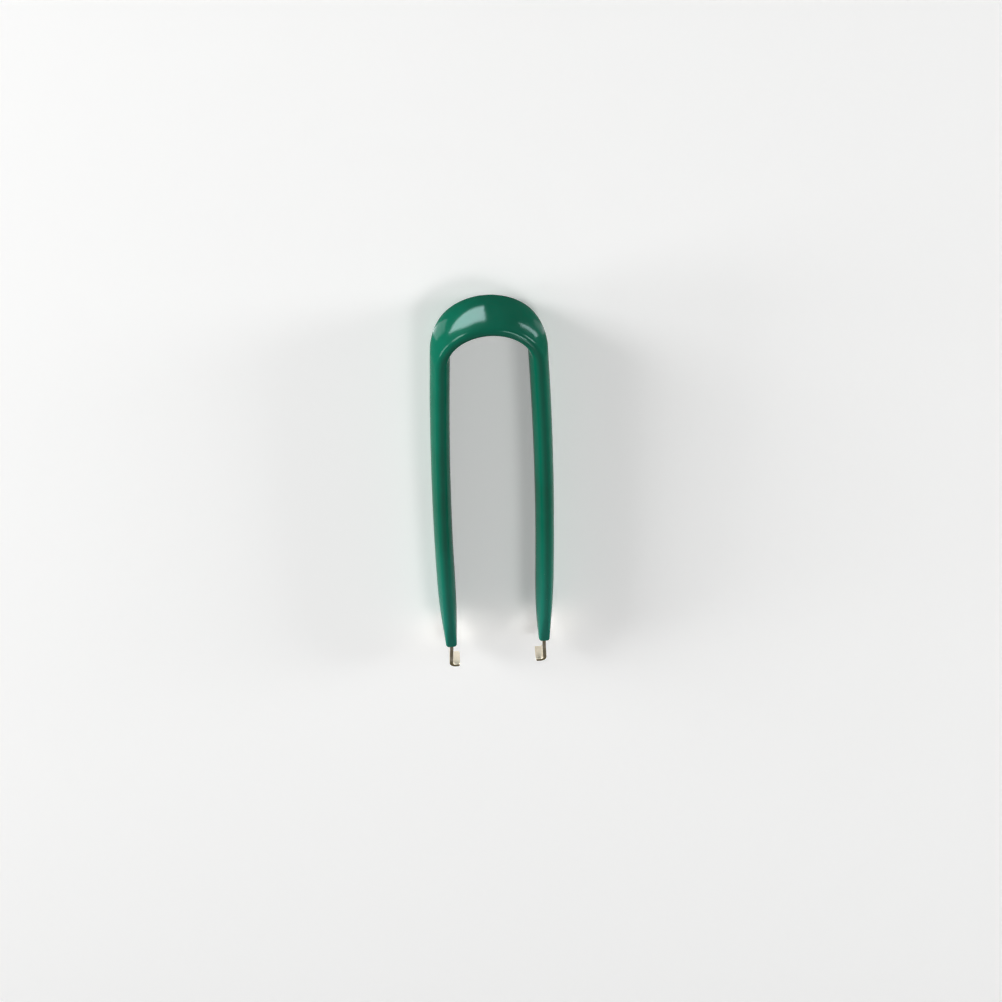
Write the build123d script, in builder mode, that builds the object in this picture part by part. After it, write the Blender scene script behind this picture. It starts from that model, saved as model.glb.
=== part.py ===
"""Hand puller for keycaps and key switches: a bent spring-steel strip in a vinyl sleeve.

The puller lies flat, as it comes to rest on a table. The legs run along Y with the crown at +Y and the
hooks at -Y, X goes across the legs, and Z is up through the width of the strip.
"""

import os
from math import asin, cos, degrees, radians, sin

from build123d import *

# Overall size, in millimetres. Angles are in degrees.
overall_length = 105.0  # undersides of the hooks to the top of the crown

# Spring-steel strip
strip_thickness = 0.8
strip_width = 6.8
crown_radius = 9.05  # centreline of the strip round the crown
leg_splay = 2.55  # how far each leg leans outwards where the crown ends
leg_bow_radius = 1200.0  # the long outward bow of each leg

# Bare tips and hooks
joggle_radius = 40.0  # the small outward set where a leg leaves the vinyl
tip_flare = 2.0  # how far each bare tip leans outwards
shank_length = 5.9  # straight steel between the joggle and the hook
tip_width = 3.6
hook_bend_radius = 0.5  # inside of the bend
hook_reach = 1.55  # past the inner face of its leg
hook_corner_radius = 0.35
hook_lead = 0.35  # bevel under the edge that slips in first

# Vinyl sleeve
coat_thickness = 1.5  # over the flats of the strip, round the crown and down most of each leg
coat_end_thickness = 0.85  # where a leg comes out
coat_bulge = 0.4  # how oval the vinyl is: 0 is flat over the strip's flats with round edges
coat_end_bulge = 0.05  # the same where a leg comes out, as thin vinyl follows the strip
coat_taper_length = 20.0  # the stretch over which the vinyl thins
coat_taper_power = 2.6  # above 1, the thinning starts gently
coat_taper_sections = 6
coat_flat_depth = 0.35  # the flats that square off the vinyl's rounded edges at its ends
coat_flat_length = 9.0  # how far up the leg those flats run out
coat_lip_radius = 0.3  # rounded rim at each end

# Places that follow from those sizes
mid_height = strip_width / 2 + coat_thickness
tip_y = -overall_length / 2
crown_y = overall_length / 2 - coat_thickness - strip_thickness / 2 - crown_radius
hook_y = tip_y + strip_thickness / 2
bend_radius = hook_bend_radius + strip_thickness / 2

# Each leg bows from its splay to a slight inward lean. The lean is the one that brings the hooks to tip_y.
splay = radians(leg_splay)
flare = radians(tip_flare)
leg_drop = crown_y + crown_radius * sin(splay) - hook_y
tip_drop = shank_length * cos(flare) + bend_radius * (1 + sin(flare))
lean = asin(
    (leg_bow_radius * sin(splay) + joggle_radius * sin(flare) + tip_drop - leg_drop)
    / (leg_bow_radius + joggle_radius)
)
bow_turn = leg_splay - degrees(lean)
taper_turn = degrees(coat_taper_length / leg_bow_radius)

# Centreline of one leg, from the top of the crown to the end of the hook
mid_plane = Plane.XY.offset(mid_height)
with BuildLine(mid_plane) as leg_line:
    crown = CenterArc((0, crown_y), crown_radius, 90, leg_splay - 90)
    bow = JernArc(crown @ 1, crown % 1, leg_bow_radius, taper_turn - bow_turn)
    taper = JernArc(bow @ 1, bow % 1, leg_bow_radius, -taper_turn)
    joggle = JernArc(taper @ 1, taper % 1, joggle_radius, tip_flare - degrees(lean))
    shank = Line(joggle @ 1, joggle @ 1 + shank_length * (joggle % 1))
    bend = JernArc(shank @ 1, shank % 1, bend_radius, -90 - tip_flare)
    hook = Line(bend @ 1, bend @ 1 + (hook_reach - hook_bend_radius) * (bend % 1))


def square_to(edge, share):
    """Plane across an edge at a share of its length, with its own X direction straight up."""
    return Plane(edge @ share, x_dir=(0, 0, 1), z_dir=edge % share)


def vinyl_oval(thinning):
    """Oval of vinyl, full at 0 and thin at 1: a shallow arc over each flat, a tighter one round each edge."""
    coat = coat_thickness + (coat_end_thickness - coat_thickness) * thinning
    half_depth = strip_thickness / 2 + coat
    edge_radius = half_depth * (1 - coat_bulge - (coat_end_bulge - coat_bulge) * thinning)
    edge_centre = strip_width / 2 + coat - edge_radius
    flat_radius = (half_depth**2 - edge_radius**2 + edge_centre**2) / (2 * (half_depth - edge_radius))
    turn = degrees(asin(edge_centre / (flat_radius - edge_radius)))
    with BuildSketch() as oval:
        with BuildLine():
            CenterArc((edge_centre, 0), edge_radius, turn - 90, 180 - 2 * turn)
            CenterArc((0, half_depth - flat_radius), flat_radius, 90 - turn, 2 * turn)
            CenterArc((-edge_centre, 0), edge_radius, 90 + turn, 180 - 2 * turn)
            CenterArc((0, flat_radius - half_depth), flat_radius, 270 - turn, 2 * turn)
        make_face()
    return oval.sketch


# Spring band: the strip is swept down one leg, narrowed to its tip, finished at the hook and mirrored.
with BuildPart() as spring_band:
    with BuildSketch(square_to(crown, 0)):
        Rectangle(strip_width, strip_thickness)
    sweep(path=leg_line.line)
    with BuildSketch(Plane.YZ):
        with BuildLine():
            neck = (joggle @ 0).Y, mid_height + strip_width / 2
            claw = (shank @ 1).Y, mid_height + tip_width / 2
            below = tip_y - strip_thickness
            outside = mid_height + strip_width
            Polyline(neck, claw, (below, claw[1]), (below, outside), (neck[0], outside), close=True)
        make_face()
        mirror(about=Plane.XZ.offset(-mid_height))
    extrude(amount=overall_length, mode=Mode.SUBTRACT)
    hook_corners = spring_band.edges().filter_by(Axis.Y).group_by(Axis.Y)[0]
    fillet(hook_corners, hook_corner_radius)
    with BuildSketch(Plane.XY):
        with BuildLine():
            toe = (hook @ 1).X
            Polyline((toe, tip_y), (toe + hook_lead, tip_y), (toe, tip_y + hook_lead), close=True)
        make_face()
    extrude(amount=2 * mid_height, mode=Mode.SUBTRACT)
    mirror(about=Plane.YZ)
spring_band.part.label = "spring_band"

# Vinyl sleeve: one section round the crown and down the leg, then a loft that thins towards the bare tip.
with BuildPart() as vinyl_sleeve:
    with BuildSketch(square_to(crown, 0)):
        add(vinyl_oval(0))
    sweep(path=[crown, bow])
    for step in range(coat_taper_sections):
        share = step / (coat_taper_sections - 1)
        with BuildSketch(square_to(taper, share)):
            add(vinyl_oval(share**coat_taper_power))
    loft(ruled=True)
    end_rim = vinyl_sleeve.faces().filter_by(GeomType.PLANE).sort_by(Axis.Y)[0].edges()
    fillet(end_rim, coat_lip_radius)
    with BuildSketch(Plane.YZ):
        with BuildLine():
            end = (taper @ 1).Y
            rim = mid_height + strip_width / 2 + coat_end_thickness - coat_flat_depth
            run_out = end + coat_flat_length, 2 * mid_height
            below = end - coat_thickness
            outside = 3 * mid_height
            Polyline(run_out, (end, rim), (below, rim), (below, outside), (run_out[0], outside), close=True)
        make_face()
        mirror(about=Plane.XZ.offset(-mid_height))
    extrude(amount=overall_length, mode=Mode.SUBTRACT)
    mirror(about=Plane.YZ)
    add(spring_band.part, mode=Mode.SUBTRACT)
vinyl_sleeve.part.label = "vinyl_sleeve"

os.makedirs("parts", exist_ok=True)
export_step(spring_band.part, "parts/spring_band.step")
export_step(vinyl_sleeve.part, "parts/vinyl_sleeve.step")
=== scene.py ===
"""Looks of a hand puller: a steel strip bent into a U, with hooked ends, and dipped in green vinyl.

The puller lies flat in the row frame, with its crown at +Y, its hooks at -Y and Z up through the width of
the strip. Lengths are in metres, and angles are in degrees.
"""

import logging
import math
from dataclasses import dataclass, field
from enum import Enum
from typing import Any, Callable, Optional, Union

import bmesh
import bpy
from mathutils import Euler, Matrix, Vector


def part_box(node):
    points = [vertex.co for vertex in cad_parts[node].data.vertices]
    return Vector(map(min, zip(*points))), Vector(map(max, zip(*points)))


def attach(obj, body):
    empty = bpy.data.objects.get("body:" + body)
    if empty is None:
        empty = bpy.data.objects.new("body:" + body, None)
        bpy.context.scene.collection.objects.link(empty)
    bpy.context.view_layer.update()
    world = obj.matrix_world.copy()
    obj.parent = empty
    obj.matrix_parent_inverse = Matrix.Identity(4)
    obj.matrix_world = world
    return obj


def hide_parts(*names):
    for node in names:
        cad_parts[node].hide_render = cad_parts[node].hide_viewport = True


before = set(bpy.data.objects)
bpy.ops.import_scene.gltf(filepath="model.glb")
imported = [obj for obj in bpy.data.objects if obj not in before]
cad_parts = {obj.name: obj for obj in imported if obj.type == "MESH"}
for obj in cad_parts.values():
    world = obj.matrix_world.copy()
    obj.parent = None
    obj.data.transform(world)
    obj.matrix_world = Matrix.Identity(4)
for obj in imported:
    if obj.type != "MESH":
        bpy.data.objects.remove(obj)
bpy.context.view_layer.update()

LOG = logging.getLogger("puller")
TINY = 1e-6  # two places closer than this are the same
QUARTER = 90.0  # degrees in a quarter turn
BOTH_SIDES = (1.0, -1.0)

Colour = tuple[float, float, float]
Scale = tuple[float, float, float]
Band = tuple[float, float]


class MathOp(Enum):
    """The Math node's operations that the finishes use."""

    ADD = "ADD"
    SUBTRACT = "SUBTRACT"
    MULTIPLY = "MULTIPLY"
    MAXIMUM = "MAXIMUM"


class MixSocket(Enum):
    """Numbers of the Mix node's colour sockets, whose names it has more than once."""

    FIRST = 6
    SECOND = 7
    RESULT = 2


class MeshPart(Enum):
    """What a selection in edit mode takes."""

    VERT = "VERT"
    EDGE = "EDGE"
    FACE = "FACE"

    def all_of(self, grid: bmesh.types.BMesh) -> Any:
        """All such parts of a mesh."""
        return getattr(grid, f"{self.value.lower()}s")


class Sock:
    """A shader socket that takes part in Python arithmetic. Each operation adds one node."""

    def __init__(self, sheet: "NodeSheet", socket: bpy.types.NodeSocket) -> None:
        """Wrap one socket of a sheet's tree."""
        self.sheet = sheet
        self.socket = socket

    def _with(self, operation: MathOp, first: "Value", second: "Value") -> "Sock":
        """Put one Math node on two values.

        Args:
            operation: What the node does.
            first: The value on its first input.
            second: The value on its second input.

        Returns:
            The node's output.
        """
        settings = {"operation": operation.value}
        return self.sheet.node("ShaderNodeMath", settings, {0: first, 1: second})

    def __add__(self, other: "Value") -> "Sock":
        """self + other."""
        return self._with(MathOp.ADD, self, other)

    def __radd__(self, other: float) -> "Sock":
        """other + self."""
        return self._with(MathOp.ADD, other, self)

    def __sub__(self, other: "Value") -> "Sock":
        """self - other."""
        return self._with(MathOp.SUBTRACT, self, other)

    def __rsub__(self, other: float) -> "Sock":
        """other - self."""
        return self._with(MathOp.SUBTRACT, other, self)

    def __mul__(self, other: "Value") -> "Sock":
        """self * other."""
        return self._with(MathOp.MULTIPLY, self, other)

    def __rmul__(self, other: float) -> "Sock":
        """other * self."""
        return self._with(MathOp.MULTIPLY, other, self)

    def largest(self, other: "Value") -> "Sock":
        """The larger of self and other."""
        return self._with(MathOp.MAXIMUM, self, other)

    def rise(self, low: float, high: float) -> "Sock":
        """Ramp the value smoothly from 0 to 1.

        Args:
            low: Where the result is 0.
            high: Where the result is 1. It may be below low, and the ramp then falls.

        Returns:
            The ramped value.
        """
        settings = {"interpolation_type": "SMOOTHSTEP"}
        inputs = {"Value": self, "From Min": low, "From Max": high}
        return self.sheet.node("ShaderNodeMapRange", settings, inputs)


Value = Union[Sock, float]


@dataclass(frozen=True)
class Grain:
    """A soft noise: the size of its features, how many finer layers it has and how strong those are."""

    size: float
    detail: float = 2.0
    rough: float = 0.5


class NodeSheet:
    """The node tree of one material, or of the world, with one method that adds any node."""

    def __init__(self, owner: Union[bpy.types.Material, bpy.types.World]) -> None:
        """Empty a tree for new nodes.

        Args:
            owner: The material or the world that has the tree.
        """
        owner.use_nodes = True
        self.tree = owner.node_tree
        self.tree.nodes.clear()

    def node(
        self,
        kind: str,
        settings: Optional[dict[str, Any]] = None,
        inputs: Optional[dict[Union[str, int], Any]] = None,
        out: Union[str, int] = 0,
    ) -> Sock:
        """Add a node, set it up and link it.

        Args:
            kind: The node's type.
            settings: Its properties, set first.
            inputs: Values or links of its sockets, by name or number.
            out: The output to hand back, by name or number.

        Returns:
            The chosen output, or the first input of a node that has no outputs.
        """
        node = self.tree.nodes.new(kind)
        for name, setting in (settings or {}).items():
            setattr(node, name, setting)
        for name, given in (inputs or {}).items():
            if isinstance(given, Sock):
                self.tree.links.new(given.socket, node.inputs[name])
            elif isinstance(given, tuple) and node.inputs[name].type == "RGBA":
                node.inputs[name].default_value = (*given, 1.0)
            else:
                node.inputs[name].default_value = given
        return Sock(self, node.outputs[out]) if len(node.outputs) else Sock(self, node.inputs[0])

    def place(self) -> Sock:
        """The point on the piece, in metres in the row frame."""
        return self.node("ShaderNodeTexCoord", out="Object")

    def along(self, point: Sock) -> Sock:
        """The Y of a point, which runs along the legs."""
        return self.node("ShaderNodeSeparateXYZ", None, {"Vector": point}, "Y")

    def stretch(self, point: Sock, scale: Scale) -> Sock:
        """The point with each axis scaled."""
        return self.node("ShaderNodeVectorMath", {"operation": "MULTIPLY"}, {0: point, 1: scale})

    def noise(self, point: Sock, grain: Grain) -> Sock:
        """Soft noise over the piece.

        Args:
            point: Where to read it.
            grain: What it is like.

        Returns:
            A value of about 0.5, from 0 to 1.
        """
        inputs = {
            "Vector": point,
            "Scale": 1.0 / grain.size,
            "Detail": grain.detail,
            "Roughness": grain.rough,
        }
        return self.node("ShaderNodeTexNoise", None, inputs, "Fac")

    def specks(self, point: Sock, spacing: float, radius: float, core: float = 0.4) -> Sock:
        """Small round specks, one in each cell.

        Args:
            point: Where to read them.
            spacing: The size of a cell.
            radius: The size of a speck.
            core: The share of the radius within which a speck is full.

        Returns:
            1 in the middle of a speck, falling to 0 at its rim.
        """
        inputs = {"Vector": point, "Scale": 1.0 / spacing}
        reach = self.node("ShaderNodeTexVoronoi", {"feature": "F1"}, inputs, "Distance")
        return reach.rise(radius / spacing, core * radius / spacing)

    def blend(self, share: Value, first: Union[Sock, Colour], second: Union[Sock, Colour]) -> Sock:
        """Mix two colours.

        Args:
            share: How much of the second there is.
            first: The colour at 0.
            second: The colour at 1.

        Returns:
            The mixed colour.
        """
        inputs = {"Factor": share, MixSocket.FIRST.value: first, MixSocket.SECOND.value: second}
        return self.node("ShaderNodeMix", {"data_type": "RGBA"}, inputs, MixSocket.RESULT.value)

    def bump(self, height: Sock, depth: float, strength: float, normal: Optional[Sock] = None) -> Sock:
        """Turn a height from 0 to 1 into a normal.

        Args:
            height: The height.
            depth: What a height of 1 stands for.
            strength: How much of it shows.
            normal: A normal that this one adds to.

        Returns:
            The normal.
        """
        inputs = {"Height": height, "Distance": depth, "Strength": strength}
        if normal:
            inputs["Normal"] = normal
        return self.node("ShaderNodeBump", None, inputs)

    def seen(self) -> Sock:
        """Tell rays that look at a surface from those that only light one.

        Returns:
            1 for what the camera, a reflection or glass sees, and 0 for the rest.
        """
        paths = self.node("ShaderNodeLightPath").socket.node.outputs
        rays = [Sock(self, paths[name]) for name in ("Is Camera Ray", "Is Glossy Ray", "Is Transmission Ray")]
        return rays[0].largest(rays[1]).largest(rays[2])

    def finish(self, shader: Sock) -> None:
        """Link the finished shader to the material's output."""
        self.node("ShaderNodeOutputMaterial", None, {"Surface": shader})


@dataclass(frozen=True)
class VinylFinish:
    """Dipped glossy vinyl: deep green with faint mottling, paler towards the tips for thinner vinyl and a
    painted sheen, orange peel, handling haze and a little dust.
    """

    slot: str = "green_vinyl"
    deep: Colour = (0.0, 0.088, 0.0495)
    fresh: Colour = (0.0, 0.109, 0.063)
    mottle: Grain = Grain(0.016, 3.0)
    mottle_band: Band = (0.3, 0.7)
    # Paler, greyer green towards the tips: thinner vinyl, and partly a painted sheen of reflected light.
    thin_coat_and_sheen: Colour = (0.016, 0.195, 0.152)
    thin_coat_and_sheen_band: Band = (0.0, -0.043)  # Y where the paling starts, and where it is full: thinner vinyl, partly a painted sheen
    thin_coat_and_sheen_share: float = 0.5
    dust: Colour = (0.30, 0.36, 0.33)
    speck_spacing: float = 0.0031
    speck_radius: float = 0.00007
    speck_patch: Grain = Grain(0.011)  # the dust lies in patches
    speck_band: Band = (0.5, 0.62)
    dust_share: float = 0.5
    dust_rough: float = 0.3
    dust_height: float = 0.6
    gloss: float = 0.16
    haze: float = 0.07
    smear: Grain = Grain(0.0052, 4.0, 0.6)
    smear_stretch: Scale = (1.0, 0.45, 1.0)
    smear_band: Band = (0.46, 0.78)
    waves: Grain = Grain(0.0045, 1.0)
    wave_depth: float = 0.00001
    peel: Grain = Grain(0.0009)
    peel_depth: float = 0.000003
    relief: float = 0.5
    index: float = 1.03
    # The glaze's mint tint is a painted reflection colour: it stands in for green surroundings mirrored in
    # the gloss.
    glint: Colour = (0.72, 1.0, 0.96)
    shine: float = 0.012  # share of the glaze that lies over the body

    def material(self) -> bpy.types.Material:
        """Make the material.

        Returns:
            The material.
        """
        material = bpy.data.materials.new("dipped_green_vinyl")
        sheet = NodeSheet(material)
        point = sheet.place()
        mottle = sheet.noise(point, self.mottle).rise(*self.mottle_band)
        smear = sheet.noise(sheet.stretch(point, self.smear_stretch), self.smear).rise(*self.smear_band)
        specks = sheet.specks(point, self.speck_spacing, self.speck_radius)
        dust = specks * sheet.noise(point, self.speck_patch).rise(*self.speck_band)
        # Paling towards the tips: thinner vinyl, and partly a painted sheen.
        thinned_and_sheen = sheet.along(point).rise(*self.thin_coat_and_sheen_band)
        colour = sheet.blend(mottle, self.deep, self.fresh)
        colour = sheet.blend(self.thin_coat_and_sheen_share * thinned_and_sheen, colour, self.thin_coat_and_sheen)
        colour = sheet.blend(self.dust_share * dust, colour, self.dust)
        roughness = self.gloss + self.haze * smear + self.dust_rough * dust
        normal = sheet.bump(sheet.noise(point, self.waves), self.wave_depth, self.relief)
        peel = sheet.noise(point, self.peel) + self.dust_height * dust
        normal = sheet.bump(peel, self.peel_depth, self.relief, normal)
        inputs = {"Base Color": colour, "Roughness": roughness, "IOR": self.index, "Normal": normal}
        body = sheet.node("ShaderNodeBsdfPrincipled", None, inputs)
        # The glaze is tinted green: a painted reflection colour of green surroundings.
        inputs = {"Base Color": self.glint, "Metallic": 1.0, "Roughness": roughness, "Normal": normal}
        glaze = sheet.node("ShaderNodeBsdfPrincipled", None, inputs)
        sheet.finish(sheet.node("ShaderNodeMixShader", None, {"Fac": self.shine, 1: body, 2: glaze}))
        return material


@dataclass(frozen=True)
class SteelFinish:
    """Bright spring steel: fine lines along the strip, a straw tint at its hooks and dull brown cut edges."""

    slot: str = "spring_steel"
    bright: Colour = (0.90, 0.86, 0.79)
    dull: Colour = (0.67, 0.63, 0.57)
    lines: Grain = Grain(0.00022, 3.0, 0.6)
    line_stretch: Scale = (1.0, 0.04, 1.0)
    line_band: Band = (0.3, 0.7)
    line_depth: float = 0.000004
    relief: float = 0.5
    straw: Colour = (0.95, 0.86, 0.69)
    straw_band: Band = (-0.0475, -0.0512)  # Y where the tint starts, and where it is full
    straw_share: float = 0.7
    cut: Colour = (0.075, 0.058, 0.026)
    cut_mark: str = "cut_edge"
    gloss: float = 0.18
    brushed: float = 0.2
    cut_gloss: float = 0.42
    stain: Grain = Grain(0.0024, 4.0, 0.6)
    stain_band: Band = (0.45, 0.75)
    stain_rough: float = 0.12
    stain_wear: float = 0.2  # how much of the brown is worn off where the stain is

    def material(self) -> bpy.types.Material:
        """Make the material.

        Returns:
            The material.
        """
        material = bpy.data.materials.new("bright_spring_steel")
        sheet = NodeSheet(material)
        point = sheet.place()
        lines = sheet.noise(sheet.stretch(point, self.line_stretch), self.lines)
        stain = sheet.noise(point, self.stain).rise(*self.stain_band)
        bent = sheet.along(point).rise(*self.straw_band)
        cut = sheet.node("ShaderNodeAttribute", {"attribute_name": self.cut_mark}, None, "Fac")
        colour = sheet.blend(lines.rise(*self.line_band), self.dull, self.bright)
        colour = sheet.blend(self.straw_share * bent, colour, self.straw)
        colour = sheet.blend(cut * (1.0 - self.stain_wear * stain), colour, self.cut)
        roughness = self.gloss + self.brushed * lines + self.stain_rough * stain
        roughness = roughness + cut * (self.cut_gloss - roughness)
        normal = sheet.bump(lines, self.line_depth, self.relief)
        inputs = {"Base Color": colour, "Metallic": 1.0, "Roughness": roughness, "Normal": normal}
        sheet.finish(sheet.node("ShaderNodeBsdfPrincipled", None, inputs))
        return material


@dataclass(frozen=True)
class FloorFinish:
    """Plain pale paper that shows the same tone near the lamps and far from them, in reflections too."""

    paper: Colour = (0.88, 0.88, 0.875)
    glow: float = 0.345
    far_glow: float = 0.98
    near: float = 0.35  # the glow grows from here
    far: float = 1.0  # to here

    def material(self) -> bpy.types.Material:
        """Make the material.

        Returns:
            The material.
        """
        material = bpy.data.materials.new("pale_paper")
        sheet = NodeSheet(material)
        away = sheet.node("ShaderNodeVectorMath", {"operation": "LENGTH"}, {0: sheet.place()}, "Value")
        strength = self.glow + (self.far_glow - self.glow) * away.rise(self.near, self.far)
        lit = sheet.node("ShaderNodeBsdfDiffuse", None, {"Color": self.paper})
        inputs = {"Color": self.paper, "Strength": strength * sheet.seen()}
        glow = sheet.node("ShaderNodeEmission", None, inputs)
        sheet.finish(sheet.node("ShaderNodeAddShader", None, {0: lit, 1: glow}))
        return material


class Bench:
    """Selections and finishing steps that the pieces share, always on the active object."""

    @staticmethod
    def begin(name: str) -> bpy.types.Object:
        """Take up the primitive just added: name it, put its place in its mesh and open it for editing.

        Args:
            name: The piece's name.

        Returns:
            The piece, in edit mode with everything selected.
        """
        piece = bpy.context.object
        piece.name = name
        piece.data.name = name
        bpy.ops.object.transform_apply(location=True, rotation=True, scale=True)
        bpy.ops.object.mode_set(mode="EDIT")
        bpy.ops.mesh.select_mode(type=MeshPart.VERT.value)
        bpy.ops.mesh.select_all(action="SELECT")
        return piece

    @staticmethod
    def pick(piece: bpy.types.Object, kind: MeshPart, test: Callable[[Vector, Vector], bool]) -> None:
        """Select the parts of the mesh that pass a test, and nothing else.

        Args:
            piece: The active object, in edit mode.
            kind: What is selected.
            test: Tells whether a part is wanted, from its middle and its normal or, for an edge, its run.
        """
        bpy.ops.mesh.select_mode(type=kind.value)
        bpy.ops.mesh.select_all(action="DESELECT")
        grid = bmesh.from_edit_mesh(piece.data)
        for part in kind.all_of(grid):
            if kind is MeshPart.VERT:
                middle, direction = part.co, part.normal
            elif kind is MeshPart.EDGE:
                middle = (part.verts[0].co + part.verts[1].co) / 2.0
                direction = (part.verts[1].co - part.verts[0].co).normalized()
            else:
                middle, direction = part.calc_center_median(), part.normal
            part.select_set(test(middle, direction))
        grid.select_flush_mode()
        bmesh.update_edit_mesh(piece.data)

    @staticmethod
    def modify(piece: bpy.types.Object, kind: str, **settings: Any) -> None:
        """Add a modifier to the active object, set it and apply it.

        Args:
            piece: The active object, in object mode.
            kind: The modifier's type.
            settings: Its properties.
        """
        bpy.ops.object.modifier_add(type=kind)
        modifier = piece.modifiers[-1]
        for name, setting in settings.items():
            setattr(modifier, name, setting)
        bpy.ops.object.modifier_apply(modifier=modifier.name)

    @staticmethod
    def mirror(piece: bpy.types.Object) -> None:
        """Close the half at X = 0 with its mirror image and point its faces outwards.

        Args:
            piece: The active object, in object mode.
        """
        Bench.modify(piece, "MIRROR", use_axis=(True, False, False), merge_threshold=TINY)
        bpy.ops.object.mode_set(mode="EDIT")
        bpy.ops.mesh.select_all(action="SELECT")
        bpy.ops.mesh.remove_doubles(threshold=TINY)
        bpy.ops.mesh.normals_make_consistent(inside=False)
        bpy.ops.object.mode_set(mode="OBJECT")


class Sweep:
    """A profile carried along a path in edit mode, one stretch at a time, with its end left selected."""

    def __init__(self, piece: bpy.types.Object, start: Vector) -> None:
        """Take up a flat profile that faces +X.

        Args:
            piece: The active object, which holds the profile.
            start: The middle of the profile.
        """
        self.piece = piece
        self.at = start.copy()
        self.heading = 0.0  # radians from +X

    @property
    def ahead(self) -> Vector:
        """The direction in which the path runs on."""
        return Vector((math.cos(self.heading), math.sin(self.heading), 0.0))

    @property
    def outwards(self) -> Vector:
        """The direction to the left of the path, away from the space between the legs."""
        return Vector((0.0, 0.0, 1.0)).cross(self.ahead)

    def move_on(self, radius: float, angle: float) -> Vector:
        """Move the sweep's place round an arc, with no mesh made.

        Args:
            radius: The arc's radius.
            angle: How far to turn, to the right if positive.

        Returns:
            The centre of the arc.
        """
        centre = self.at - math.copysign(radius, angle) * self.outwards
        swing = math.radians(angle)
        self.at = centre + Matrix.Rotation(-swing, 3, "Z") @ (self.at - centre)
        self.heading -= swing
        return centre

    def turn(self, radius: float, angle: float, steps: int) -> None:
        """Carry the end round an arc.

        Args:
            radius: The arc's radius.
            angle: How far to turn, to the right if positive.
            steps: How many segments the arc has.
        """
        centre = self.move_on(radius, angle)
        bpy.ops.mesh.spin(steps=steps, angle=math.radians(angle), center=centre, axis=(0.0, 0.0, 1.0))

    def run(self, length: float) -> None:
        """Carry the end straight on.

        Args:
            length: How far.
        """
        step = length * self.ahead
        bpy.ops.mesh.extrude_region_move(TRANSFORM_OT_translate={"value": step})
        self.at += step

    def resize(self, across: float, height: float) -> None:
        """Resize the end about its own middle, across the path by one factor and along Z by another."""
        bpy.ops.transform.resize(value=(across, across, height), center_override=self.at)

    def pick_end(
        self,
        test: Optional[Callable[[Vector], bool]] = None,
        also: Optional[Callable[[Vector], bool]] = None,
    ) -> None:
        """Select the ring of vertices at the path's end.

        Args:
            test: Tells which places of that ring are wanted. All are if it is left out.
            also: Tells which other places are wanted too.
        """
        at, ahead = self.at, self.ahead

        def wanted(place: Vector, _: Vector) -> bool:
            """Tell whether a place is picked."""
            on_end = abs(ahead.dot(place - at)) < TINY and (test is None or test(place))
            return on_end or (also is not None and also(place))

        Bench.pick(self.piece, MeshPart.VERT, wanted)


@dataclass(frozen=True)
class LegPath:
    """Centreline of one leg, from the top of the crown to the hook, as the strip is bent."""

    thickness: float = 0.0008
    crown_radius: float = 0.00905
    splay: float = 2.55
    bow_radius: float = 1.2
    taper_length: float = 0.020
    joggle_radius: float = 0.040
    flare: float = 2.0
    shank: float = 0.0059
    bend_radius: float = 0.0009

    @property
    def band_box(self) -> tuple[Vector, Vector]:
        """Lowest and highest corners of the strip."""
        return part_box("spring_band")

    @property
    def width(self) -> float:
        """Width of the strip."""
        low, high = self.band_box
        return high.z - low.z

    @property
    def start(self) -> Vector:
        """Top of the crown, in the middle of the strip."""
        low, high = self.band_box
        return Vector((0.0, high.y - self.thickness / 2.0, (low.z + high.z) / 2.0))

    @property
    def crown_centre(self) -> Vector:
        """Middle of the crown's bend."""
        return self.start - Vector((0.0, self.crown_radius, 0.0))

    @property
    def hook_end(self) -> Vector:
        """Point halfway between the two hooks, level with their undersides."""
        low, _ = self.band_box
        return Vector((0.0, low.y, self.start.z))

    @property
    def lean(self) -> float:
        """Lean of a leg where it leaves the vinyl, which brings the hook to its place.

        Returns:
            How far it leans outwards.
        """
        low, _ = self.band_box
        splay, flare = math.radians(self.splay), math.radians(self.flare)
        crown_end = self.start.y - self.crown_radius * (1.0 - math.sin(splay))
        leg_drop = crown_end - low.y - self.thickness / 2.0
        tip_drop = self.shank * math.cos(flare) + self.bend_radius * (1.0 + math.sin(flare))
        swing = self.bow_radius * math.sin(splay) + self.joggle_radius * math.sin(flare)
        return math.degrees(math.asin((swing + tip_drop - leg_drop) / (self.bow_radius + self.joggle_radius)))

    @property
    def crown_turn(self) -> float:
        """How far the strip turns round one half of the crown."""
        return QUARTER - self.splay

    @property
    def taper_turn(self) -> float:
        """How far a leg turns along the stretch where the vinyl thins."""
        return math.degrees(self.taper_length / self.bow_radius)

    @property
    def bow_turn(self) -> float:
        """How far a leg turns between the crown and that stretch."""
        return self.splay - self.lean - self.taper_turn

    @property
    def hook_turn(self) -> float:
        """How far a bare tip turns into its hook."""
        return QUARTER + self.flare


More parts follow.
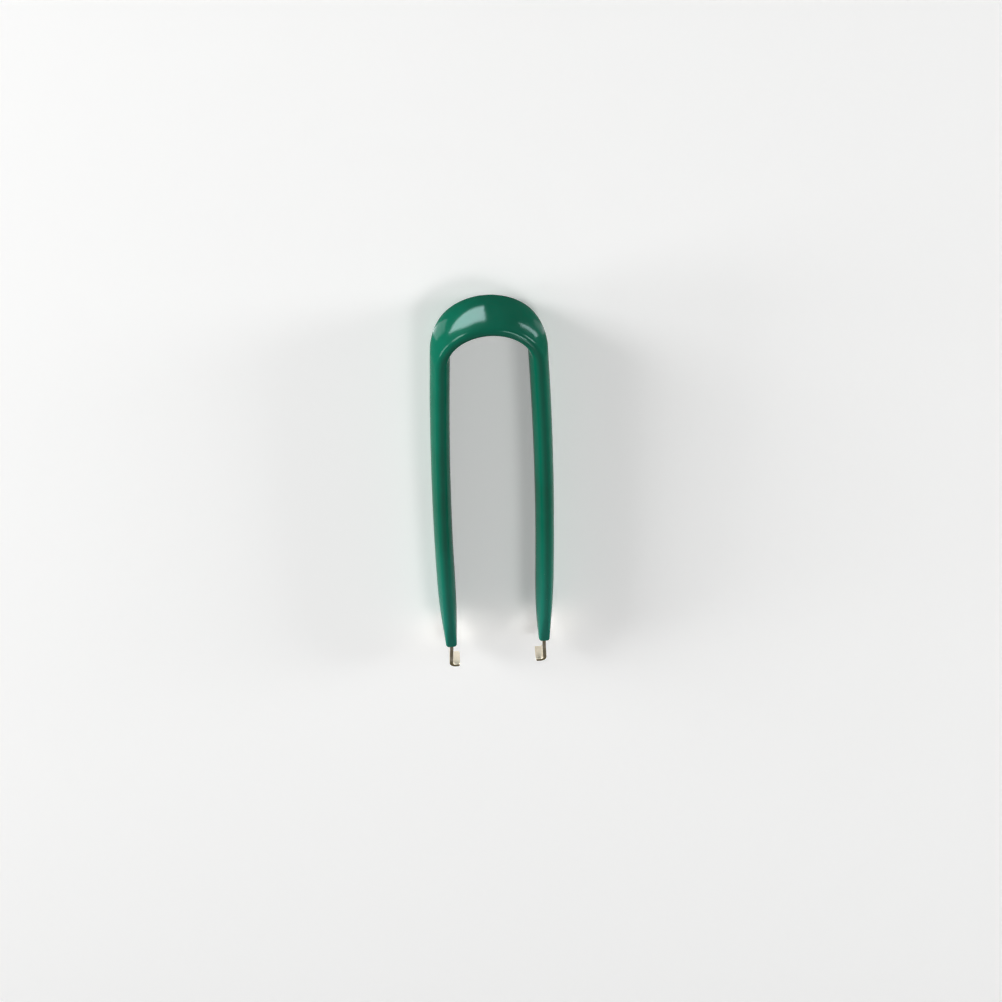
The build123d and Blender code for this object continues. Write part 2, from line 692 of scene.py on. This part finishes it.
@dataclass
class SpringBand:
    """The bent steel strip, with its narrowed bare tips and hooks."""

    path: LegPath
    finish: SteelFinish = field(default_factory=SteelFinish)
    tip_width: float = 0.0036
    hook_run: float = 0.00105  # the hook's straight, past its bend
    corner_radius: float = 0.00035
    lead: float = 0.00035  # bevel under the edge that slips in first
    edge_round: float = 0.0001
    crown_steps: int = 28
    bow_steps: int = 10
    taper_steps: int = 4
    narrow_steps: int = 5  # in the joggle, and again in the straight of the tip
    bend_steps: int = 9
    corner_steps: int = 6
    edge_steps: int = 3
    edge_angle: float = 35.0  # sharper edges are rounded
    smooth_angle: float = 32.0
    upright: float = 0.9  # least Y of the direction of the edges at the hook's corners
    cut_facing: float = 0.8  # least Z of the normal of a face on a cut edge

    def build(self) -> bpy.types.Object:
        """Model the strip: an end face is carried down a leg, narrowed, hooked, mirrored and eased.

        Returns:
            The finished piece.
        """
        path = self.path
        bpy.ops.object.select_all(action="DESELECT")
        bpy.ops.mesh.primitive_plane_add(size=1.0, location=path.start, rotation=(0.0, math.pi / 2.0, 0.0))
        piece = Bench.begin("bent_steel_strip")
        bpy.ops.transform.resize(value=(1.0, path.thickness, path.width), center_override=path.start)
        sweep = Sweep(piece, path.start)
        sweep.turn(path.crown_radius, path.crown_turn, self.crown_steps)
        sweep.turn(path.bow_radius, path.bow_turn, self.bow_steps)
        sweep.turn(path.bow_radius, path.taper_turn, self.taper_steps)
        self._narrow(sweep)
        sweep.turn(path.bend_radius, path.hook_turn, self.bend_steps)
        sweep.run(self.hook_run)
        self._shape_toe(piece, sweep.at)
        Bench.pick(piece, MeshPart.FACE, lambda middle, _: abs(middle.x) < TINY)
        bpy.ops.mesh.delete(type="ONLY_FACE")
        bpy.ops.object.mode_set(mode="OBJECT")
        Bench.mirror(piece)
        Bench.modify(
            piece,
            "BEVEL",
            width=self.edge_round,
            segments=self.edge_steps,
            limit_method="ANGLE",
            angle_limit=math.radians(self.edge_angle),
        )
        bpy.ops.object.shade_smooth_by_angle(angle=math.radians(self.smooth_angle))
        return piece

    def _narrow(self, sweep: Sweep) -> None:
        """Carry the strip through its joggle and down the bare tip, narrowing all the way.

        Args:
            sweep: The strip so far, at the end of the vinyl.
        """
        path, steps = self.path, self.narrow_steps
        joggle = path.flare - path.lean
        curved = path.joggle_radius * math.radians(joggle)
        length = curved + path.shank
        done, width = 0.0, path.width
        for straight in (False, True):
            step = (path.shank if straight else curved) / steps
            for _ in range(steps):
                if straight:
                    sweep.run(step)
                else:
                    sweep.turn(path.joggle_radius, -joggle / steps, 1)
                done += step
                wanted = path.width + (self.tip_width - path.width) * done / length
                sweep.resize(1.0, wanted / width)
                width = wanted

    def _shape_toe(self, piece: bpy.types.Object, toe: Vector) -> None:
        """Round the corners of the hook's end and bevel the edge that slips in first.

        Args:
            piece: The strip, in edit mode.
            toe: The middle of the hook's end.
        """
        Bench.pick(
            piece,
            MeshPart.EDGE,
            lambda middle, run: abs(middle.x - toe.x) < TINY and abs(run.y) > self.upright,
        )
        bpy.ops.mesh.bevel(offset=self.corner_radius, segments=self.corner_steps, affect="EDGES")
        bpy.ops.mesh.select_all(action="SELECT")
        low, _ = self.path.band_box
        bevel = (toe.x, low.y + self.lead, toe.z)
        bpy.ops.mesh.bisect(plane_co=bevel, plane_no=(-1.0, -1.0, 0.0), use_fill=True, clear_outer=True)

    def _mark_cuts(self, piece: bpy.types.Object) -> None:
        """Mark the faces on the strip's two cut edges, for the finish.

        Args:
            piece: The finished strip.
        """
        mark = piece.data.attributes.new(self.finish.cut_mark, "FLOAT", "FACE")
        cuts = [float(abs(face.normal.z) > self.cut_facing) for face in piece.data.polygons]
        mark.data.foreach_set("value", cuts)

    def dress(self, piece: bpy.types.Object) -> None:
        """Give the strip its finish and its place in the frame.

        Args:
            piece: The finished strip.
        """
        self._mark_cuts(piece)
        piece.data.materials.append(self.finish.material())
        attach(piece, "root")
        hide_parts("spring_band")


@dataclass
class VinylSleeve:
    """The dipped vinyl over the crown and both legs, an oval skin that thins towards the bare tips."""

    path: LegPath
    finish: VinylFinish = field(default_factory=VinylFinish)
    end_coat: float = 0.00085
    bulge: float = 0.4  # how oval the vinyl is: 0 is flat over the strip's flats
    end_bulge: float = 0.05
    taper_power: float = 2.6  # above 1, the thinning starts gently
    lip: float = 0.0003
    flat_depth: float = 0.00035  # the flats that square off the vinyl's edges at its ends
    flat_length: float = 0.009  # how far up the leg those flats run out
    flat_ease: float = 0.00012  # how far below a flat its corners start
    flat_corner: float = 0.5  # share of its height that is left to what stands above that
    flat_dome: float = 0.12  # the same for what stands above the flat
    ripple: float = 0.00004
    ripple_size: float = 0.014
    around: int = 96
    crown_steps: int = 44
    bow_steps: int = 48
    taper_steps: int = 32
    lip_steps: int = 7
    smooth_angle: float = 55.0

    @property
    def depth(self) -> float:
        """Half the thickness of the oval."""
        _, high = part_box("vinyl_sleeve")
        return high.y - self.path.start.y

    @property
    def reach(self) -> float:
        """Half the width of the oval."""
        low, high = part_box("vinyl_sleeve")
        return (high.z - low.z) / 2.0

    def build(self, strip: bpy.types.Object) -> bpy.types.Object:
        """Model the sleeve: an oval is carried from the crown down a leg, thinned, mirrored and hollowed.

        Args:
            strip: The steel strip that the sleeve fits.

        Returns:
            The finished piece.
        """
        path = self.path
        bpy.ops.object.select_all(action="DESELECT")
        self._add_circle(path.start, 0.0, 0.0)
        piece = Bench.begin("dipped_vinyl_sleeve")
        sweep = Sweep(piece, path.start)
        self._shape_oval(sweep, 0.0)
        bpy.ops.mesh.select_all(action="SELECT")
        sweep.turn(path.crown_radius, path.crown_turn, self.crown_steps)
        sweep.turn(path.bow_radius, path.bow_turn, self.bow_steps)
        self._thin(sweep)
        self._round_lip(sweep)
        bpy.ops.mesh.edge_face_add()
        bpy.ops.object.mode_set(mode="OBJECT")
        Bench.mirror(piece)
        clouds = bpy.data.textures.new("vinyl_ripple", "CLOUDS")
        clouds.noise_scale = self.ripple_size
        Bench.modify(
            piece, "DISPLACE", texture=clouds, texture_coords="LOCAL", strength=self.ripple, mid_level=1.0
        )
        Bench.modify(piece, "BOOLEAN", operation="DIFFERENCE", object=strip, solver="EXACT")
        bpy.ops.object.shade_smooth_by_angle(angle=math.radians(self.smooth_angle))
        return piece

    def _section(self, thinning: float) -> tuple[float, float, float]:
        """Sizes of the oval where the vinyl has thinned.

        Args:
            thinning: From 0 where it is full to 1 at the end of the vinyl.

        Returns:
            Half the thickness, half the width and the radius of the two ends.
        """
        full = self.depth - self.path.thickness / 2.0
        loss = (full - self.end_coat) * thinning
        bulge = self.bulge + (self.end_bulge - self.bulge) * thinning
        return self.depth - loss, self.reach - loss, (self.depth - loss) * (1.0 - bulge)

    def _add_circle(self, place: Vector, heading: float, thinning: float) -> None:
        """Add the circle that an oval is shaped from.

        Args:
            place: Its middle.
            heading: The way its plane faces, in radians from +X.
            thinning: How thin the vinyl is there.
        """
        bpy.ops.mesh.primitive_circle_add(
            vertices=self.around,
            radius=self._section(thinning)[2],
            fill_type="NOTHING",
            location=place,
            rotation=(0.0, math.pi / 2.0, heading),
        )

    def _shape_oval(self, sweep: Sweep, thinning: float) -> None:
        """Shape the circle at the sweep's end into an oval: its ends are drawn apart and its flats widened.

        Args:
            sweep: The sleeve so far.
            thinning: How thin the vinyl is there.
        """
        depth, reach, end_radius = self._section(thinning)
        end_centre = reach - end_radius
        flat_radius = (depth**2 - end_radius**2 + end_centre**2) / (2.0 * (depth - end_radius))
        flat_rise = end_radius * end_centre / (flat_radius - end_radius)
        at, outwards = sweep.at, sweep.outwards
        for side in BOTH_SIDES:
            sweep.pick_end(lambda place: side * (place.z - at.z) > flat_rise)
            bpy.ops.transform.translate(value=(0.0, 0.0, side * end_centre))
        for side in BOTH_SIDES:
            sweep.pick_end(
                lambda place: side * outwards.dot(place - at) > 0.0 and abs(place.z - at.z) <= flat_rise
            )
            bpy.ops.transform.resize(value=(flat_radius / end_radius,) * 3, center_override=at)
            bpy.ops.transform.translate(value=side * (depth - flat_radius) * outwards)

    def _thin(self, sweep: Sweep) -> None:
        """Bridge the leg to thinner and blunter ovals, down to where the rim starts.

        Args:
            sweep: The sleeve so far, where the thinning starts.
        """
        path, steps = self.path, self.taper_steps
        share_end = 1.0 - self.lip / path.taper_length
        for step in range(1, steps + 1):
            before, ahead = sweep.at.copy(), sweep.ahead
            sweep.move_on(path.bow_radius, path.taper_turn * share_end / steps)
            share = share_end * step / steps
            thinning = share**self.taper_power
            self._add_circle(sweep.at, sweep.heading, thinning)
            self._shape_oval(sweep, thinning)
            self._square_off(sweep, (1.0 - share) * path.taper_length)
            sweep.pick_end(also=lambda place: abs(ahead.dot(place - before)) < TINY)
            bpy.ops.mesh.bridge_edge_loops()
            sweep.pick_end()

    def _square_off(self, sweep: Sweep, left: float) -> None:
        """Press the oval's two ends onto the flats that square off the vinyl, with eased corners.

        Args:
            sweep: The sleeve so far, with a new oval at its end.
            left: The length of vinyl still to come.
        """
        at = sweep.at
        rim = self._section(1.0)[1] - self.flat_depth
        height = rim + (self.reach - rim) * left / self.flat_length
        for level, keep in ((height - self.flat_ease, self.flat_corner), (height, self.flat_dome)):
            for side in BOTH_SIDES:
                sweep.pick_end(lambda place: side * (place.z - at.z) > level)
                if sweep.piece.data.total_vert_sel:
                    flat = at + Vector((0.0, 0.0, side * level))
                    bpy.ops.transform.resize(value=(1.0, 1.0, keep), center_override=flat)

    def _round_lip(self, sweep: Sweep) -> None:
        """Round the rim at the end of the vinyl.

        Args:
            sweep: The sleeve so far, where the rim starts.
        """
        depth, reach, _ = self._section(1.0)
        steps = self.lip_steps
        before = 0.0
        for step in range(1, steps + 1):
            swing = math.radians(QUARTER * step / steps)
            last = math.radians(QUARTER * (step - 1) / steps)
            after = self.lip * (1.0 - math.cos(swing))
            sweep.run(self.lip * (math.sin(swing) - math.sin(last)))
            sweep.resize((depth - after) / (depth - before), (reach - after) / (reach - before))
            before = after

    def dress(self, piece: bpy.types.Object) -> None:
        """Give the sleeve its finish and its place in the frame.

        Args:
            piece: The finished sleeve.
        """
        piece.data.materials.append(self.finish.material())
        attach(piece, "root")
        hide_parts("vinyl_sleeve")


def add_lamp(
    name: str, place: Vector, turn: Euler, size: tuple[float, float], power: float
) -> bpy.types.Object:
    """Add a rectangular lamp.

    Args:
        name: The lamp's name.
        place: Its middle.
        turn: Its rotation. Unturned, it faces down.
        size: Its width and length.
        power: Its power in watts.

    Returns:
        The lamp.
    """
    bpy.ops.object.select_all(action="DESELECT")
    bpy.ops.object.light_add(type="AREA", location=place, rotation=turn)
    lamp = bpy.context.object
    lamp.name = name
    lamp.data.shape = "RECTANGLE"
    lamp.data.size, lamp.data.size_y = size
    lamp.data.energy = power
    return lamp


@dataclass(frozen=True)
class Softbox:
    """A rectangular studio lamp that faces the puller. It may show only in the gloss."""

    name: str
    bearing: float
    rise: float
    width: float
    height: float
    power: float
    distance: float = 0.8
    only_gloss: bool = False

    def place(self) -> None:
        """Add the lamp. Its bearing is from +Y towards +X, and its rise is above the floor."""
        bearing, rise = math.radians(self.bearing), math.radians(self.rise)
        out = Vector((math.cos(rise) * math.sin(bearing), math.cos(rise) * math.cos(bearing), math.sin(rise)))
        turn = out.to_track_quat("Z", "Y").to_euler()
        lamp = add_lamp(self.name, self.distance * out, turn, (self.width, self.height), self.power)
        lamp.visible_diffuse = not self.only_gloss


@dataclass(frozen=True)
class GlossPanel:
    """A small lamp that lies face up on the floor beside the crown and shows only in the gloss."""

    name: str
    aside: float
    beyond: float
    width: float
    length: float
    turn: float
    power: float
    lift: float = 0.0002
    colour: Colour = (1.0, 0.91, 1.0)

    def place(self, bend: Vector) -> None:
        """Add the lamp.

        Args:
            bend: The middle of the crown's bend, from which the lamp's place is measured.
        """
        spot = Vector((bend.x + self.aside, bend.y + self.beyond, self.lift))
        turn = Euler((math.pi, 0.0, math.radians(self.turn)))
        lamp = add_lamp(self.name, spot, turn, (self.width, self.length), self.power)
        lamp.data.color = self.colour
        lamp.visible_camera = False
        lamp.visible_diffuse = False


@dataclass(frozen=True)
class PhotoCamera:
    """A camera that sees the puller as the photograph does, with the crown up and nearest."""

    yaw: float = 3.009
    tilt: float = 49.244
    roll: float = 1.401
    aside: float = 0.000726
    above: float = 0.033614
    distance: float = 0.49573
    lens: float = 82.742
    clip_start: float = 0.01

    def place(self, tip: Vector) -> None:
        """Add the camera and make it the scene's own.

        Args:
            tip: The point between the ends of the hooks, from which the camera's place is measured.
        """
        turn = Matrix.Rotation(math.radians(self.roll), 3, "Z")
        turn = turn @ Matrix.Rotation(math.radians(self.tilt), 3, "X")
        turn = (turn @ Matrix.Rotation(math.radians(self.yaw), 3, "Y")).transposed()
        place = tip + turn @ Vector((self.aside, self.above, self.distance))
        bpy.ops.object.select_all(action="DESELECT")
        bpy.ops.object.camera_add(location=place, rotation=turn.to_euler())
        camera = bpy.context.object
        camera.name = "photo_camera"
        camera.data.lens = self.lens
        camera.data.clip_start = self.clip_start
        bpy.context.scene.camera = camera


@dataclass
class Studio:
    """The pale floor, the lamps and the room round the puller, which looks pale but lights it dimly.

    The panels and the lamp called edge_gloss light nothing. They are only the crown's highlights.
    """

    floor_size: float = 30.0
    room: float = 0.03
    backdrop: float = 0.85
    room_colour: Colour = (1.0, 1.0, 1.0)
    lamps: tuple[Softbox, ...] = (
        # Name, bearing, rise, width, height and power
        Softbox("key", -56.0, 13.5, 0.34, 0.36, 6.6),
        Softbox("side_left", -92.0, 8.0, 0.36, 0.21, 4.2),
        Softbox("side_right", 78.0, 9.5, 0.30, 0.25, 4.4),
        Softbox("front_card", 180.0, 45.0, 0.90, 0.50, 0.6),
        Softbox("streak", 133.0, 60.0, 0.30, 0.16, 1.2),
        Softbox("edge_gloss", 70.0, 57.0, 0.50, 0.10, 4.4, only_gloss=True),
    )
    panels: tuple[GlossPanel, ...] = (
        # Name, place aside and beyond, width, length, turn and power
        GlossPanel("left_panel", -0.0143, 0.0253, 0.0255, 0.024, 3.0, 0.0575),
        GlossPanel("right_panel", 0.0252, 0.0115, 0.007, 0.0165, 7.0, 0.0087),
        GlossPanel("left_rim", -0.0142, 0.0047, 0.0075, 0.0065, 0.0, 0.00088),
        GlossPanel("right_rim", 0.0145, 0.003, 0.005, 0.006, 0.0, 0.00027),
    )

    def build(self, bend: Vector) -> None:
        """Lay the floor, place the lamps and panels and dim the room.

        Args:
            bend: The middle of the crown's bend.
        """
        bpy.ops.object.select_all(action="DESELECT")
        bpy.ops.mesh.primitive_plane_add(size=self.floor_size)
        floor = bpy.context.object
        floor.name = "floor"
        floor.data.materials.append(FloorFinish().material())
        for lamp in self.lamps:
            lamp.place()
        for panel in self.panels:
            panel.place(bend)
        world = bpy.data.worlds.new("pale_room")
        bpy.context.scene.world = world
        sheet = NodeSheet(world)
        strength = self.room + (self.backdrop - self.room) * sheet.seen()
        light = sheet.node("ShaderNodeBackground", None, {"Color": self.room_colour, "Strength": strength})
        sheet.node("ShaderNodeOutputWorld", None, {"Surface": light})
        bpy.context.scene.view_settings.view_transform = "Standard"


def main() -> None:
    """Build the puller's two pieces, then the studio and the camera."""
    logging.basicConfig(level=logging.INFO, format="%(name)s: %(message)s")
    path = LegPath()
    band = SpringBand(path)
    strip = band.build()
    sleeve = VinylSleeve(path)
    skin = sleeve.build(strip)
    band.dress(strip)
    sleeve.dress(skin)
    for piece in (strip, skin):
        LOG.info("%s: %d faces", piece.name, len(piece.data.polygons))
    Studio().build(path.crown_centre)
    PhotoCamera().place(path.hook_end)


if __name__ == "__main__":
    main()
